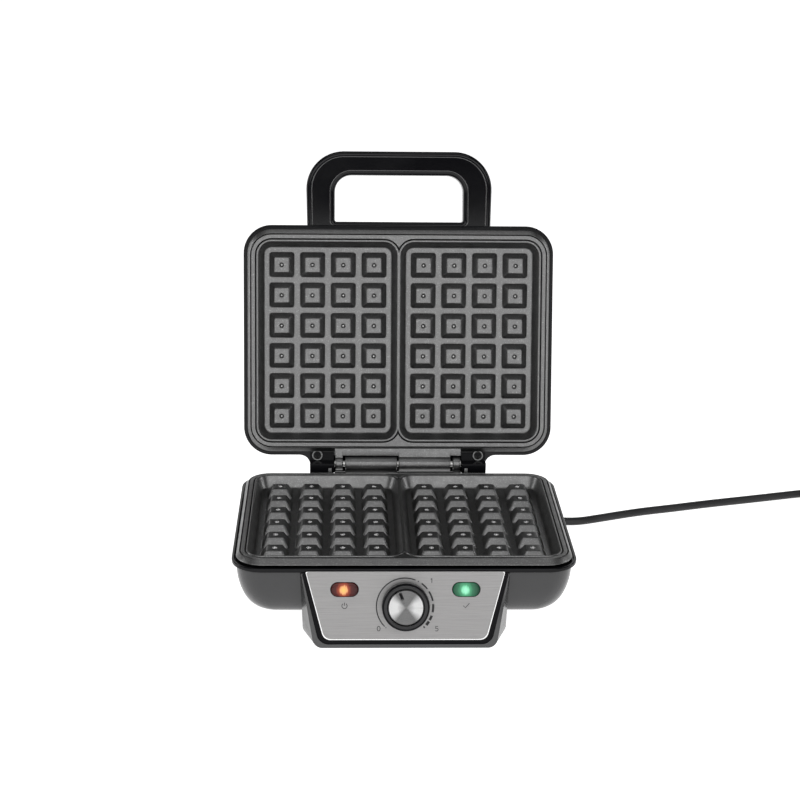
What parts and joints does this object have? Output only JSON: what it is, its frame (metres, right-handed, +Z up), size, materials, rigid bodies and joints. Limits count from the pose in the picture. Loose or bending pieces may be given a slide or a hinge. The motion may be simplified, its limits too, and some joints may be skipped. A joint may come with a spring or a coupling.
{
  "type": "waffle maker",
  "caption": "Open double waffle maker: deep-grid baking plates in base and lid, loop handle, sloped steel control panel with a temperature knob and pilot lenses, mains cord.",
  "frame": {"origin": "on the table, under the centre of the open waffle maker's box, the cord left out", "axes": "+X to the right of someone who faces the control panel, +Y to the back, +Z up"},
  "size_m": [0.5711, 0.3009, 0.2969],
  "materials": {
    "grey_housing": "fine satin, dark grey",
    "black_gloss": "polished black",
    "coated_plate": "dark non-stick coating with a fine speckle",
    "brushed_steel": "brushed along its length",
    "bare_steel": "turned",
    "element_sheath": "oxidised",
    "shield_sheet": "mill finish sheet",
    "orange_lens": "translucent orange",
    "green_lens": "translucent green",
    "lamp_glass": "clear",
    "pale_plastic": "heat-proof moulding",
    "lead_sleeve": "silicone sleeve",
    "soft_rubber": "matt",
    "cord_rubber": "satin black",
    "plated_pin": "nickel plated"
  },
  "bodies": {
    "base": {"base_shell": "grey_housing", "base_frame": "black_gloss", "lower_plate": "coated_plate", "lower_element": "element_sheath", "lower_shield": "shield_sheet", "control_housing": "grey_housing", "control_bezel": "black_gloss", "steel_fascia": "brushed_steel", "power_lens": "orange_lens", "ready_lens": "green_lens", "power_lamp": "lamp_glass", "ready_lamp": "lamp_glass", "thermostat": "pale_plastic", "thermostat_nut": "bare_steel", "thermal_fuse": "bare_steel", "terminal_block": "pale_plastic", "base_wiring": "lead_sleeve", "base_screws": "bare_steel", "rubber_feet": "soft_rubber", "hinge_pin": "bare_steel", "strain_relief": "cord_rubber", "mains_cord": "cord_rubber", "cord_coil": "cord_rubber", "coil_tie": "cord_rubber", "plug_body": "cord_rubber", "plug_pins": "plated_pin"},
    "knob": {"knob_skirt": "black_gloss", "knob_cap": "brushed_steel", "thermostat_shaft": "bare_steel"},
    "lid": {"lid_shell": "grey_housing", "lid_frame": "black_gloss", "upper_plate": "coated_plate", "upper_element": "element_sheath", "upper_shield": "shield_sheet", "handle_inner": "black_gloss", "handle_outer": "black_gloss", "lid_screws": "bare_steel", "lid_wiring": "lead_sleeve"}
  },
  "joints": [
    {"name": "lid_hinge", "type": "hinge", "parent": "base", "child": "lid", "pos_m": [0, 0.0667, 0.06006], "axis": [1, 0, 0], "range_deg": [0, 102.8]},
    {"name": "knob_turn", "type": "hinge", "parent": "base", "child": "knob", "pos_m": [0, -0.12807, 0.02872], "axis": [0, -0.9542, 0.299], "range_deg": [-157, 113]}
  ]
}
